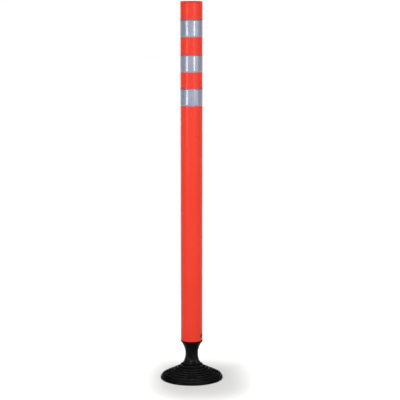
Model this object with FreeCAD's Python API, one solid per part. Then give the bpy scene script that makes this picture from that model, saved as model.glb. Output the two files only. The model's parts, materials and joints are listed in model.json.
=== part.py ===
"""Surface-mount flexible delineator post, in millimetres, +Z up.

The origin is at the centre of the base, on the ground. Seen from the front (from -Y), the
head of the cross pin is round to the right. The post bends at its neck, about NECK_Z.
"""
import FreeCAD, Part
import math
import os

# Whole post
OVERALL_HEIGHT = 1219.2
NECK_Z = 82.0
FIT_GAP = 0.3

# Base moulding: a low cone of stepped rings, the last of which rounds over to the rim
BASE_RADIUS = 101.6
RIM_EDGE_Z = 3.0
RIM_CHAMFER = 0.8
RIM_THROUGH = (100.1, 7.2)
RIM_RISER_FOOT = (96.2, 11.0)
RIM_CREST = (95.4, 13.1)
RINGS_OUTER_RADIUS = 87.3
CONE_TOP_Z = 39.6
CONE_SLOPE = 0.485
RING_PITCH = 10.2
RING_COUNT = 5
RING_RISER_DROP = 2.4
RING_RISER_RUN = 0.9
HUB_RADIUS = 36.6
HUB_GROOVE_WIDTH = 2.8
HUB_GROOVE_DEPTH = 2.0
HUB_SEAT_Z = 28.8
BASE_BORE_RADIUS = 25.0

# Anchor holes through the base
ANCHOR_COUNT = 4
ANCHOR_CIRCLE_RADIUS = 76.2
ANCHOR_HOLE_RADIUS = 7.0
SLEEVE_RADIUS = 9.0
SLEEVE_FLANGE_RADIUS = 12.5
SLEEVE_FLANGE_THICKNESS = 2.0
SLEEVE_BOTTOM_Z = 0.5
POCKET_RADIUS = 14.5
POCKET_FLOOR_Z = 11.0

# Underside: steel plate over a grooved rubber pad
PLATE_RADIUS = 87.5
PLATE_BOTTOM_Z = 5.0
PLATE_TOP_Z = 9.0
PAD_HOLE_RADIUS = 28.0
PAD_GROOVE_RADII = (36.0, 46.0, 56.0)
PAD_GROOVE_WIDTH = 3.0
PAD_GROOVE_DEPTH = 1.2

# Collar that holds the foot of the boot
COLLAR_RADIUS = 36.3
COLLAR_BORE_RADIUS = 26.5
COLLAR_BOTTOM_Z = 33.2
COLLAR_TOP_Z = 47.1
COLLAR_EDGE = 2.2

# Rubber boot round the neck
BOOT_FLANGE_RADIUS = 35.8
BOOT_FLANGE_BOTTOM_Z = 29.1
BOOT_FLANGE_TOP_Z = 32.9
BOOT_FOOT_RADIUS = 26.2
BOOT_WAIST_RADIUS = 19.7
BOOT_FLARE_RADIUS = 34.2
BOOT_FLARE_Z = 121.7
BOOT_RIM_RADIUS = 35.6
BOOT_RIM_TOP_Z = 126.7
BOOT_BULGE_RADIUS = 27.1
BOOT_BULGE_Z = 52.0
BOOT_SPIGOT_RADIUS = 31.6
BOOT_TOP_Z = 130.8
BOOT_BORE_RADIUS = 15.2
BOOT_END_BORE_RADIUS = 17.3
BOOT_BEADS = ((53.6, 27.3), (63.6, 22.7), (98.9, 22.7), (112.7, 28.4))
BOOT_BEAD_ROUND = 1.9

# Coil spring between the two spring mounts
SPRING_MEAN_RADIUS = 12.0
SPRING_WIRE_RADIUS = 2.3
SPRING_PITCH = 5.0
SPRING_SEAT_GAP = 0.4
LOWER_SEAT_Z = 40.0
UPPER_SEAT_Z = 124.0
SPRING_BOSS_RADIUS = 9.4
SPRING_BOSS_LENGTH = 18.0

# Spring mounts
LOWER_FLANGE_RADIUS = 24.5
LOWER_FLANGE_TOP_Z = 15.0
LOWER_BODY_RADIUS = 16.6
UPPER_FLANGE_RADIUS = 17.0
UPPER_FLANGE_TOP_Z = 132.0
UPPER_SHANK_RADIUS = 13.0
UPPER_SHANK_TOP_Z = 165.0
CABLE_HOLE_RADIUS = 3.4
STOP_POCKET_RADIUS = 7.0
LOWER_STOP_POCKET_TOP_Z = 25.0

# Screws that hold the lower spring mount to the plate
SCREW_COUNT = 3
SCREW_CIRCLE_RADIUS = 20.5
SCREW_RADIUS = 3.0
SCREW_TIP_Z = 14.0
SCREW_HEAD_RADIUS = 5.2
SCREW_HEAD_HEIGHT = 3.6
SCREW_SOCKET_WIDTH = 5.0
SCREW_SOCKET_DEPTH = 2.0

# Restraint cable and the stops swaged on its ends
CABLE_RADIUS = 2.4
CABLE_BOTTOM_Z = 10.5
CABLE_TOP_Z = 136.5
STOP_RADIUS = 6.2
STOP_LENGTH = 12.0
STOP_BORE_RADIUS = 2.75
STOP_GAP = 0.2

# Tube and the plug inside its lower end
TUBE_RADIUS = 34.925
TUBE_WALL = 3.0
TUBE_BOTTOM_Z = 127.0
TUBE_LIP_RADIUS = 35.6
TUBE_LIP_HEIGHT = 5.0
TUBE_LIP_EDGE = 1.2
PLUG_RADIUS = 31.7
PLUG_BOTTOM_Z = 131.0
PLUG_WEB_TOP_Z = 168.0
PLUG_TOP_Z = 190.0
PLUG_CUP_RADIUS = 26.0

# Cross pin through tube, plug and upper spring mount
PIN_Z = 143.0
PIN_AZIMUTH = 66.0
PIN_RADIUS = 4.75
PIN_FIT = 0.1
PIN_HEAD_RADIUS = 8.0
PIN_HEAD_THICKNESS = 1.4
PIN_TAIL_REACH = 39.0
PIN_TAIL_EDGE = 0.8
RETAINER_RADIUS = 8.0
RETAINER_THICKNESS = 1.2

# Cap pressed into the top of the tube
CAP_FLANGE_THICKNESS = 2.5
CAP_EDGE_RADIUS = 1.2
CAP_SKIRT_RADIUS = 31.75
CAP_SKIRT_WALL = 2.2
CAP_SKIRT_LENGTH = 20.0
CAP_DISH_RADIUS = 26.0
CAP_DISH_DEPTH = 0.8

# Reflective bands wrapped round the tube by hand, so their gaps differ a little; each one's
# ends overlap at the back
BAND_HEIGHT = 55.0
BAND_TOP_MARGINS = (54.9, 165.8, 272.3)
BAND_THICKNESS = 0.35
BAND_BOND_GAP = 0.05
BAND_OVERLAP_WIDTH = 12.0
BAND_OVERLAP_THICKNESS = 0.3

AXIS = FreeCAD.Vector(0, 0, 1)
FULL_TURN = 360.0


def on_plane(point):
    """Put a (radius, height) pair on the XZ half plane."""
    return FreeCAD.Vector(point[0], 0, point[1])


def turned(start, *steps):
    """Turn a closed outline about Z. A step is a point, or a (through, end) pair for an arc."""
    edges = []
    here = start
    for step in steps + (start,):
        is_arc = isinstance(step[0], tuple)
        end = step[1] if is_arc else step
        if is_arc:
            edges.append(Part.Arc(on_plane(here), on_plane(step[0]), on_plane(end)).toShape())
        else:
            edges.append(Part.makeLine(on_plane(here), on_plane(end)))
        here = end
    face = Part.Face(Part.Wire(edges))
    return face.revolve(FreeCAD.Vector(0, 0, 0), AXIS, FULL_TURN)


def ring(outer, inner, bottom, top):
    """A plain ring about Z."""
    return turned((inner, bottom), (outer, bottom), (outer, top), (inner, top))


def disc(radius, bottom, top, x=0.0, y=0.0):
    """A plain cylinder that stands on the height 'bottom'."""
    return Part.makeCylinder(radius, top - bottom, FreeCAD.Vector(x, y, bottom), AXIS)


def spread(count, radius, start=0.0):
    """Points evenly spaced on a circle about Z."""
    step = FULL_TURN / count
    angles = [math.radians(start + index * step) for index in range(count)]
    return [(radius * math.cos(angle), radius * math.sin(angle)) for angle in angles]


def anchor_points():
    """The anchor holes: front, back, left and right."""
    return spread(ANCHOR_COUNT, ANCHOR_CIRCLE_RADIUS)


def screw_points():
    """The screws of the lower spring mount."""
    return spread(SCREW_COUNT, SCREW_CIRCLE_RADIUS, start=90.0)


def pin_direction():
    """Unit vector from the axis of the post towards the head of the cross pin."""
    turn = math.radians(PIN_AZIMUTH)
    return FreeCAD.Vector(math.sin(turn), -math.cos(turn), 0)


def along_pin(radius, start, end):
    """A cylinder on the axis of the cross pin, between two distances from the post's axis."""
    direction = pin_direction()
    origin = FreeCAD.Vector(0, 0, PIN_Z) + direction * start
    return Part.makeCylinder(radius, end - start, origin, direction)


def pin_hole():
    """The hole for the cross pin, right through the post."""
    reach = 2 * TUBE_RADIUS
    return along_pin(PIN_RADIUS + PIN_FIT, -reach, reach)


def cone_z(radius):
    """Mean height of the base's cone."""
    return CONE_TOP_Z - CONE_SLOPE * (radius - HUB_RADIUS)


def ring_steps(innermost):
    """Outline of the stepped rings from the rim in to a radius, as radius and height."""
    points = []
    for index in range(RING_COUNT):
        outer = RINGS_OUTER_RADIUS - index * RING_PITCH
        points.append((outer, cone_z(outer)))
        points.append((outer - RING_RISER_RUN, cone_z(outer) + RING_RISER_DROP))
    crest_radius, crest_z = points[-1]
    tread_fall = CONE_SLOPE * RING_PITCH - RING_RISER_DROP
    tread_slope = tread_fall / (RING_PITCH - RING_RISER_RUN)
    points.append((innermost, crest_z + tread_slope * (crest_radius - innermost)))
    return points


def base_moulding():
    """Round rubber base with stepped rings, anchor pockets and a seat for the boot."""
    recess = PLATE_RADIUS + FIT_GAP
    groove_outer = HUB_RADIUS + HUB_GROOVE_WIDTH
    groove_floor = cone_z(groove_outer) - HUB_GROOVE_DEPTH
    body = turned(
        (recess, 0.0),
        (BASE_RADIUS - RIM_CHAMFER, 0.0),
        (BASE_RADIUS, RIM_EDGE_Z),
        (RIM_THROUGH, RIM_RISER_FOOT),
        RIM_CREST,
        *ring_steps(groove_outer),
        (groove_outer, groove_floor),
        (HUB_RADIUS, groove_floor),
        (HUB_RADIUS, HUB_SEAT_Z),
        (BASE_BORE_RADIUS, HUB_SEAT_Z),
        (BASE_BORE_RADIUS, PLATE_TOP_Z),
        (recess, PLATE_TOP_Z),
    )
    for x, y in anchor_points():
        body = body.cut(disc(POCKET_RADIUS, POCKET_FLOOR_Z, CONE_TOP_Z, x, y))
        body = body.cut(disc(SLEEVE_RADIUS + PIN_FIT, 0.0, CONE_TOP_Z, x, y))
    return body


def base_plate():
    """Steel plate under the moulding, which spreads the pull of the anchors."""
    body = ring(PLATE_RADIUS, STOP_POCKET_RADIUS, PLATE_BOTTOM_Z, PLATE_TOP_Z)
    for x, y in anchor_points():
        body = body.cut(disc(SLEEVE_RADIUS + PIN_FIT, 0.0, PLATE_TOP_Z, x, y))
    for x, y in screw_points():
        body = body.cut(disc(SCREW_RADIUS + PIN_FIT, 0.0, PLATE_TOP_Z, x, y))
    return body


def base_pad():
    """Rubber pad on the underside, with grip grooves in its lower face."""
    body = ring(PLATE_RADIUS, PAD_HOLE_RADIUS, 0.0, PLATE_BOTTOM_Z)
    for radius in PAD_GROOVE_RADII:
        body = body.cut(ring(radius + PAD_GROOVE_WIDTH, radius, 0.0, PAD_GROOVE_DEPTH))
    for x, y in anchor_points():
        body = body.cut(disc(SLEEVE_RADIUS + PIN_FIT, 0.0, PLATE_BOTTOM_Z, x, y))
    return body


def anchor_sleeves():
    """Flanged steel sleeves that line the four anchor holes."""
    sleeves = []
    for x, y in anchor_points():
        flange_top = POCKET_FLOOR_Z + SLEEVE_FLANGE_THICKNESS
        sleeve = disc(SLEEVE_RADIUS, SLEEVE_BOTTOM_Z, POCKET_FLOOR_Z, x, y)
        sleeve = sleeve.fuse(disc(SLEEVE_FLANGE_RADIUS, POCKET_FLOOR_Z, flange_top, x, y))
        sleeve = sleeve.cut(disc(ANCHOR_HOLE_RADIUS, 0.0, flange_top, x, y))
        sleeves.append(sleeve.removeSplitter())
    return Part.makeCompound(sleeves)


def hub_collar():
    """Threaded ring that clamps the boot's foot in the base; its top edge is rounded."""
    corner = COLLAR_EDGE * (1 - math.sqrt(0.5))
    return turned(
        (COLLAR_BORE_RADIUS, COLLAR_BOTTOM_Z),
        (COLLAR_RADIUS, COLLAR_BOTTOM_Z),
        (COLLAR_RADIUS, COLLAR_TOP_Z - COLLAR_EDGE),
        (
            (COLLAR_RADIUS - corner, COLLAR_TOP_Z - corner),
            (COLLAR_RADIUS - COLLAR_EDGE, COLLAR_TOP_Z),
        ),
        (COLLAR_BORE_RADIUS + COLLAR_EDGE, COLLAR_TOP_Z),
        (
            (COLLAR_BORE_RADIUS + corner, COLLAR_TOP_Z - corner),
            (COLLAR_BORE_RADIUS, COLLAR_TOP_Z - COLLAR_EDGE),
        ),
    )


def neck_boot():
    """Hourglass rubber boot: a foot under the collar, a waist, and a rim under the tube."""
    corner = (BOOT_RIM_RADIUS - BOOT_FLARE_RADIUS) * (1 - math.sqrt(0.5))
    rim_edge_z = BOOT_FLARE_Z + BOOT_RIM_RADIUS - BOOT_FLARE_RADIUS
    body = turned(
        (LOWER_BODY_RADIUS + FIT_GAP, BOOT_FLANGE_BOTTOM_Z),
        (BOOT_FLANGE_RADIUS, BOOT_FLANGE_BOTTOM_Z),
        (BOOT_FLANGE_RADIUS, BOOT_FLANGE_TOP_Z),
        (BOOT_FOOT_RADIUS, BOOT_FLANGE_TOP_Z),
        (BOOT_FOOT_RADIUS, COLLAR_TOP_Z),
        (BOOT_BULGE_RADIUS, BOOT_BULGE_Z),
        ((BOOT_WAIST_RADIUS, NECK_Z), (BOOT_FLARE_RADIUS, BOOT_FLARE_Z)),
        ((BOOT_RIM_RADIUS - corner, BOOT_FLARE_Z + corner), (BOOT_RIM_RADIUS, rim_edge_z)),
        (BOOT_RIM_RADIUS, BOOT_RIM_TOP_Z),
        (BOOT_SPIGOT_RADIUS, BOOT_RIM_TOP_Z),
        (BOOT_SPIGOT_RADIUS, BOOT_TOP_Z),
        (BOOT_END_BORE_RADIUS, BOOT_TOP_Z),
        (BOOT_END_BORE_RADIUS, BOOT_FLARE_Z),
        (BOOT_BORE_RADIUS, BOOT_FLARE_Z - SPRING_PITCH),
        (BOOT_BORE_RADIUS, LOWER_SEAT_Z + SPRING_WIRE_RADIUS),
        (LOWER_BODY_RADIUS + FIT_GAP, LOWER_SEAT_Z),
    )
    for height, crest_radius in BOOT_BEADS:
        centre = FreeCAD.Vector(0, 0, height)
        bead = Part.makeTorus(crest_radius - BOOT_BEAD_ROUND, BOOT_BEAD_ROUND, centre, AXIS)
        body = body.fuse(bead)
    return body


def coil_spring():
    """Close-wound coil spring that stands the post up again."""
    bottom = LOWER_SEAT_Z + SPRING_SEAT_GAP + SPRING_WIRE_RADIUS
    top = UPPER_SEAT_Z - SPRING_SEAT_GAP - SPRING_WIRE_RADIUS
    helix = Part.makeHelix(SPRING_PITCH, top - bottom, SPRING_MEAN_RADIUS)
    start = FreeCAD.Vector(SPRING_MEAN_RADIUS, 0, 0)
    rise = SPRING_PITCH / (2 * math.pi)
    heading = FreeCAD.Vector(0, SPRING_MEAN_RADIUS, rise)
    section = Part.Wire(Part.makeCircle(SPRING_WIRE_RADIUS, start, heading))
    spring = Part.Wire(helix.Edges).makePipeShell([section], True, True)
    spring.translate(FreeCAD.Vector(0, 0, bottom))
    return spring


def lower_spring_mount():
    """Turned steel mount bolted to the plate; the spring screws on to its boss."""
    boss_top = LOWER_SEAT_Z + SPRING_BOSS_LENGTH
    body = turned(
        (STOP_POCKET_RADIUS, PLATE_TOP_Z),
        (LOWER_FLANGE_RADIUS, PLATE_TOP_Z),
        (LOWER_FLANGE_RADIUS, LOWER_FLANGE_TOP_Z),
        (LOWER_BODY_RADIUS, LOWER_FLANGE_TOP_Z),
        (LOWER_BODY_RADIUS, LOWER_SEAT_Z),
        (SPRING_BOSS_RADIUS, LOWER_SEAT_Z),
        (SPRING_BOSS_RADIUS, boss_top - 1.0),
        (SPRING_BOSS_RADIUS - 1.0, boss_top),
        (CABLE_HOLE_RADIUS, boss_top),
        (CABLE_HOLE_RADIUS, LOWER_STOP_POCKET_TOP_Z),
        (STOP_POCKET_RADIUS, LOWER_STOP_POCKET_TOP_Z),
    )
    for x, y in screw_points():
        body = body.cut(disc(SCREW_RADIUS + PIN_FIT, PLATE_TOP_Z, SCREW_TIP_Z + 0.5, x, y))
    return body


def mount_screws():
    """Three socket-head screws, up through the plate into the lower spring mount."""
    screws = []
    for x, y in screw_points():
        head_bottom = PLATE_BOTTOM_Z - SCREW_HEAD_HEIGHT
        screw = disc(SCREW_HEAD_RADIUS, head_bottom, PLATE_BOTTOM_Z, x, y)
        screw = screw.fuse(disc(SCREW_RADIUS, PLATE_BOTTOM_Z, SCREW_TIP_Z, x, y))
        corner = SCREW_SOCKET_WIDTH / math.sqrt(3)
        corners = [FreeCAD.Vector(x + px, y + py, head_bottom) for px, py in spread(6, corner)]
        socket = Part.Face(Part.makePolygon(corners + corners[:1]))
        screw = screw.cut(socket.extrude(AXIS * SCREW_SOCKET_DEPTH))
        screws.append(screw.removeSplitter())
    return Part.makeCompound(screws)


def upper_spring_mount():
    """Turned steel mount in the plug: boss for the spring, flange, and a drilled shank."""
    boss_bottom = UPPER_SEAT_Z - SPRING_BOSS_LENGTH
    body = turned(
        (CABLE_HOLE_RADIUS, boss_bottom),
        (SPRING_BOSS_RADIUS - 1.0, boss_bottom),
        (SPRING_BOSS_RADIUS, boss_bottom + 1.0),
        (SPRING_BOSS_RADIUS, UPPER_SEAT_Z),
        (UPPER_FLANGE_RADIUS, UPPER_SEAT_Z),
        (UPPER_FLANGE_RADIUS, UPPER_FLANGE_TOP_Z),
        (UPPER_SHANK_RADIUS, UPPER_FLANGE_TOP_Z),
        (UPPER_SHANK_RADIUS, UPPER_SHANK_TOP_Z),
        (STOP_POCKET_RADIUS, UPPER_SHANK_TOP_Z),
        (STOP_POCKET_RADIUS, UPPER_SEAT_Z),
        (CABLE_HOLE_RADIUS, UPPER_SEAT_Z),
    )
    return body.cut(pin_hole())


def restraint_cable():
    """Wire rope down the middle of the spring, which stops it from stretching too far."""
    return disc(CABLE_RADIUS, CABLE_BOTTOM_Z, CABLE_TOP_Z)


def cable_stop(bottom):
    """Steel stop swaged on the end of the restraint cable."""
    return ring(STOP_RADIUS, STOP_BORE_RADIUS, bottom, bottom + STOP_LENGTH)


def tube_plug():
    """Polymer plug in the tube's lower end, a cup with a thick drilled web."""
    shank_bore = UPPER_SHANK_RADIUS + FIT_GAP
    flange_bore = UPPER_FLANGE_RADIUS + FIT_GAP
    flange_top = UPPER_FLANGE_TOP_Z + FIT_GAP
    body = turned(
        (flange_bore, PLUG_BOTTOM_Z),
        (PLUG_RADIUS, PLUG_BOTTOM_Z),
        (PLUG_RADIUS, PLUG_TOP_Z),
        (PLUG_CUP_RADIUS, PLUG_TOP_Z),
        (PLUG_CUP_RADIUS, PLUG_WEB_TOP_Z),
        (shank_bore, PLUG_WEB_TOP_Z),
        (shank_bore, flange_top),
        (flange_bore, flange_top),
    )
    return body.cut(pin_hole())


def cross_pin():
    """Steel pin across the post; its thin head follows the curve of the tube."""
    shell = ring(
        TUBE_RADIUS + PIN_HEAD_THICKNESS,
        TUBE_RADIUS,
        PIN_Z - 2 * PIN_HEAD_RADIUS,
        PIN_Z + 2 * PIN_HEAD_RADIUS,
    )
    head = shell.common(along_pin(PIN_HEAD_RADIUS, 0.0, 2 * TUBE_RADIUS))
    shaft = along_pin(PIN_RADIUS, -PIN_TAIL_REACH + PIN_TAIL_EDGE, TUBE_RADIUS + PIN_FIT)
    direction = pin_direction()
    tail = Part.makeCone(
        PIN_RADIUS,
        PIN_RADIUS - PIN_TAIL_EDGE,
        PIN_TAIL_EDGE,
        FreeCAD.Vector(0, 0, PIN_Z) - direction * (PIN_TAIL_REACH - PIN_TAIL_EDGE),
        direction * -1,
    )
    return shaft.fuse([head, tail]).removeSplitter()


def pin_retainer():
    """Push-on washer that holds the cross pin at its tail."""
    seat = TUBE_RADIUS + PIN_FIT
    outer = along_pin(RETAINER_RADIUS, -seat - RETAINER_THICKNESS, -seat)
    return outer.cut(along_pin(PIN_RADIUS + PIN_FIT / 2, -PIN_TAIL_REACH, 0.0))


def post_tube():
    """Extruded tube, drilled for the cross pin, with a slight lip round its lower edge."""
    top = OVERALL_HEIGHT - CAP_FLANGE_THICKNESS
    corner = TUBE_LIP_EDGE * (1 - math.sqrt(0.5))
    body = turned(
        (TUBE_RADIUS - TUBE_WALL, TUBE_BOTTOM_Z),
        (TUBE_LIP_RADIUS - TUBE_LIP_EDGE, TUBE_BOTTOM_Z),
        (
            (TUBE_LIP_RADIUS - corner, TUBE_BOTTOM_Z + corner),
            (TUBE_LIP_RADIUS, TUBE_BOTTOM_Z + TUBE_LIP_EDGE),
        ),
        (TUBE_RADIUS, TUBE_BOTTOM_Z + TUBE_LIP_HEIGHT),
        (TUBE_RADIUS, top),
        (TUBE_RADIUS - TUBE_WALL, top),
    )
    return body.cut(pin_hole())


def top_cap():
    """Cap with a flange on the tube's end, a shallow dish on top and a skirt inside."""
    flange_bottom = OVERALL_HEIGHT - CAP_FLANGE_THICKNESS
    skirt_inner = CAP_SKIRT_RADIUS - CAP_SKIRT_WALL
    corner = CAP_EDGE_RADIUS * (1 - math.sqrt(0.5))
    return turned(
        (0.0, flange_bottom),
        (skirt_inner, flange_bottom),
        (skirt_inner, flange_bottom - CAP_SKIRT_LENGTH),
        (CAP_SKIRT_RADIUS, flange_bottom - CAP_SKIRT_LENGTH),
        (CAP_SKIRT_RADIUS, flange_bottom),
        (TUBE_RADIUS, flange_bottom),
        (TUBE_RADIUS, OVERALL_HEIGHT - CAP_EDGE_RADIUS),
        (
            (TUBE_RADIUS - corner, OVERALL_HEIGHT - corner),
            (TUBE_RADIUS - CAP_EDGE_RADIUS, OVERALL_HEIGHT),
        ),
        (CAP_DISH_RADIUS + CAP_DISH_DEPTH, OVERALL_HEIGHT),
        (CAP_DISH_RADIUS, OVERALL_HEIGHT - CAP_DISH_DEPTH),
        (0.0, OVERALL_HEIGHT - CAP_DISH_DEPTH),
    )


def reflective_band(top_margin):
    """One wrapped band of sheeting; its two ends overlap at the back."""
    top = OVERALL_HEIGHT - top_margin
    inner = TUBE_RADIUS + BAND_BOND_GAP
    outer = inner + BAND_THICKNESS
    band = ring(outer, inner, top - BAND_HEIGHT, top)
    overlap = ring(outer + BAND_OVERLAP_THICKNESS, inner, top - BAND_HEIGHT, top)
    back = Part.makeBox(
        BAND_OVERLAP_WIDTH,
        2 * TUBE_RADIUS,
        BAND_HEIGHT,
        FreeCAD.Vector(-BAND_OVERLAP_WIDTH / 2, 0, top - BAND_HEIGHT),
    )
    return band.fuse(overlap.common(back)).removeSplitter()


def nodes():
    """Every sub-part by its node name."""
    parts = {
        "base_moulding": base_moulding(),
        "base_plate": base_plate(),
        "base_pad": base_pad(),
        "anchor_sleeves": anchor_sleeves(),
        "hub_collar": hub_collar(),
        "lower_spring_mount": lower_spring_mount(),
        "mount_screws": mount_screws(),
        "cable_stop_lower": cable_stop(LOWER_STOP_POCKET_TOP_Z - STOP_LENGTH - STOP_GAP),
        "neck_boot": neck_boot(),
        "coil_spring": coil_spring(),
        "restraint_cable": restraint_cable(),
        "cable_stop_upper": cable_stop(UPPER_SEAT_Z + STOP_GAP),
        "upper_spring_mount": upper_spring_mount(),
        "tube_plug": tube_plug(),
        "cross_pin": cross_pin(),
        "pin_retainer": pin_retainer(),
        "post_tube": post_tube(),
        "top_cap": top_cap(),
    }
    for number, top_margin in enumerate(BAND_TOP_MARGINS, start=1):
        parts["reflective_band_%d" % number] = reflective_band(top_margin)
    return parts


def main():
    os.makedirs("parts", exist_ok=True)
    for name, shape in nodes().items():
        print(name, shape.isValid(), len(shape.Solids), round(shape.Volume, 1))
        shape.exportStep("parts/%s.step" % name)


main()
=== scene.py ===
import json
import math
import bpy
from mathutils import Matrix, Vector


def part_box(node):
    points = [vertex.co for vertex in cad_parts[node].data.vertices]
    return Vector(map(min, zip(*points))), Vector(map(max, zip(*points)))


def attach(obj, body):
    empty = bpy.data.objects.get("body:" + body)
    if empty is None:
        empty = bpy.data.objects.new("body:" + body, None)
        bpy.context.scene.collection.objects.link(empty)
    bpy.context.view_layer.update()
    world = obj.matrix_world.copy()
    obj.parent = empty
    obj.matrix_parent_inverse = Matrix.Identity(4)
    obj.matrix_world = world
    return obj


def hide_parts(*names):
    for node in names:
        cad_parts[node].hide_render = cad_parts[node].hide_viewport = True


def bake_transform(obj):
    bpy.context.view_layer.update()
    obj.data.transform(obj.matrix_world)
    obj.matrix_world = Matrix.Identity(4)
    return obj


# Looks of a flexible delineator post: an orange tube with silver bands on a black rubber neck
# and a round ringed base. Metres, +Z up, the front is towards -Y, as in the frame.

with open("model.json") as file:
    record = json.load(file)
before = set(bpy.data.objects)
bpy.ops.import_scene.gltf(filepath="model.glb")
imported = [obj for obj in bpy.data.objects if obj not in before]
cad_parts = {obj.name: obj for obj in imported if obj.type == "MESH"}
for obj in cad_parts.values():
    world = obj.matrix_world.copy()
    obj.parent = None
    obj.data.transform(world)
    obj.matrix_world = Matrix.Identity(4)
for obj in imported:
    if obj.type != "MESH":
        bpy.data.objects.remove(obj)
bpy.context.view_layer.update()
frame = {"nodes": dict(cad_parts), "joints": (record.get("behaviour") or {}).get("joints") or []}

MM = 0.001
TURN = 2 * math.pi

# Camera, fitted to the post's outline
CAMERA_DISTANCE = 5.153
CAMERA_HEIGHT = 1.457
CAMERA_PITCH = math.radians(9.587)
CAMERA_YAW = math.radians(0.300)
CAMERA_LENS = 146.8

# Heights and radii taken from the frame
POST_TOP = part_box("top_cap")[1].z
TUBE_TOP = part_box("post_tube")[1].z
TUBE_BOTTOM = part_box("post_tube")[0].z
TUBE_LIP_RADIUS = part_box("post_tube")[1].x
TUBE_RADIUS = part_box("top_cap")[1].x
BASE_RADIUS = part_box("base_moulding")[1].x
COLLAR_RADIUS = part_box("hub_collar")[1].x
COLLAR_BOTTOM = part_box("hub_collar")[0].z
COLLAR_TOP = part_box("hub_collar")[1].z
BOOT_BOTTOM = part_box("neck_boot")[0].z
BOOT_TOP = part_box("neck_boot")[1].z
BOOT_FLANGE_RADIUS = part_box("neck_boot")[1].x
NECK_Z = frame["joints"][0]["pos_m"][2]

# Base moulding, from its edge inwards
EDGE_HEIGHT = 3.0 * MM
EDGE_INSET = 0.8 * MM
SHOULDER = (100.1 * MM, 7.4 * MM)
FIRST_FOOT = (96.2 * MM, 11.0 * MM)
FIRST_CREST = (95.4 * MM, 13.1 * MM)
CONE_TOP_Z = 40.1 * MM
CONE_SLOPE = 0.485
HUB_RADIUS = 36.6 * MM
HUB_GROOVE_RADIUS = 39.4 * MM
HUB_GROOVE_DEPTH = 2.0 * MM
HUB_SEAT_Z = 28.8 * MM
BASE_BORE_RADIUS = 25.0 * MM
RINGS_OUTER_RADIUS = 87.3 * MM
RING_PITCH = 10.2 * MM
RING_COUNT = 5
RISER_DROP = 2.4 * MM
RISER_RUN = 0.9 * MM
CREST_FILLET = 1.0 * MM
FOOT_FILLET = 1.6 * MM
RECESS_RADIUS = 87.8 * MM
RECESS_TOP = 9.0 * MM
POCKET_RADIUS = 14.5 * MM
POCKET_FLOOR = 11.0 * MM
SLEEVE_HOLE_RADIUS = 9.1 * MM
ANCHOR_COUNT = 4
ANCHOR_CIRCLE = 76.2 * MM
COLLAR_BORE = 26.5 * MM

# Boot; a bead is its height and its rise, in millimetres
WAIST_RADIUS = 20.3 * MM
FLARE_RADIUS = 34.2 * MM
FLARE_Z = 121.7 * MM
RIM_RADIUS = 35.6 * MM
RIM_TOP = TUBE_BOTTOM - 0.3 * MM
BULGE_RADIUS = 27.1 * MM
BULGE_Z = 52.0 * MM
FOOT_RADIUS = 26.2 * MM
FOOT_TOP = 32.9 * MM
SPIGOT_RADIUS = 31.6 * MM
BOOT_BORE = 15.2 * MM
BOOT_BORE_LOW = 42.0 * MM
BOOT_BORE_HIGH = 118.0 * MM
FOOT_BORE = 16.9 * MM
FOOT_BORE_TOP = 40.0 * MM
END_BORE = 17.3 * MM
BEADS = ((53.6, 1.0), (63.6, 0.6), (98.9, 0.5), (112.7, 0.5))
BEAD_HALF_WIDTH = 3.4 * MM
BOOT_STEP = 0.7 * MM
BORE_STEP = 2.0 * MM

# Heights over which the boot's painted highlight belt fades in and out
HIGHLIGHT_BELT_STARTS = (44.0 * MM, 56.0 * MM)
HIGHLIGHT_BELT_ENDS = (62.0 * MM, 80.0 * MM)

# Spring and cable
SPRING_RADIUS = 12.0 * MM
SPRING_WIRE = 2.3 * MM
SPRING_PITCH = 5.0 * MM
CABLE_RADIUS = 2.4 * MM
CABLE_LAY = 28.0 * MM
CABLE_OUTER_STRANDS = 6

# Tube, cap and bands
TUBE_WALL = 3.0 * MM
TUBE_LIP_HEIGHT = 5.0 * MM
CAP_SKIRT_RADIUS = 31.75 * MM
CAP_SKIRT_WALL = 2.2 * MM
CAP_DISH_RADIUS = 26.0 * MM
CAP_DISH_DEPTH = 0.8 * MM
BAND_BOND = 0.05 * MM
BAND_THICKNESS = 0.30 * MM
BAND_OVERLAP = 12.0 * MM
BAND_LIFT_LENGTH = 3.0 * MM
BAND_EDGE = 0.08 * MM

# Honeycomb of the sheeting; its grid starts this far off
CELL_PITCH = 3.2 * MM
CELL_GRID_START = 1.0

# Floor, surround and the soft shadow painted on the floor
FLOOR_REACH = 60.0
SURROUND_STRENGTH = 0.05
SHADE_SHIFT = 0.028
SHADE_SET_BACK = -0.035
SHADE_HALF_WIDTH = 0.24
SHADE_HALF_DEPTH = 0.36
SHADE_SQUARENESS = 2.8
SHADE_DEPTH = 0.40

# Cross pin
PIN_Z = (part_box("pin_retainer")[0].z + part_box("pin_retainer")[1].z) / 2
PIN_AZIMUTH = math.radians(66.0)
PIN_RADIUS = 4.75 * MM
PIN_HEAD_RADIUS = 8.0 * MM
PIN_HEAD_THICKNESS = 1.4 * MM
PIN_TAIL = 36.6 * MM
RETAINER_RADIUS = 8.0 * MM
RETAINER_BORE = 4.8 * MM
RETAINER_SLOT = 6.9 * MM
RETAINER_THICKNESS = 0.8 * MM
RETAINER_DISH = 0.4 * MM
RETAINER_SEAT = 0.1 * MM
RETAINER_PRONGS = 6
RETAINER_STEPS = 16
RETAINER_PRONG_STEPS = 11


# ---------------------------------------------------------------- mesh helpers


def mesh_object(name, points, faces, smooth_angle=40.0):
    """A mesh piece, smooth except where its faces turn sharply."""
    mesh = bpy.data.meshes.new(name)
    mesh.from_pydata(points, [], faces)
    mesh.validate()
    piece = bpy.data.objects.new(name, mesh)
    bpy.context.collection.objects.link(piece)
    tidy_shading(piece, smooth_angle)
    return piece


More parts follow.
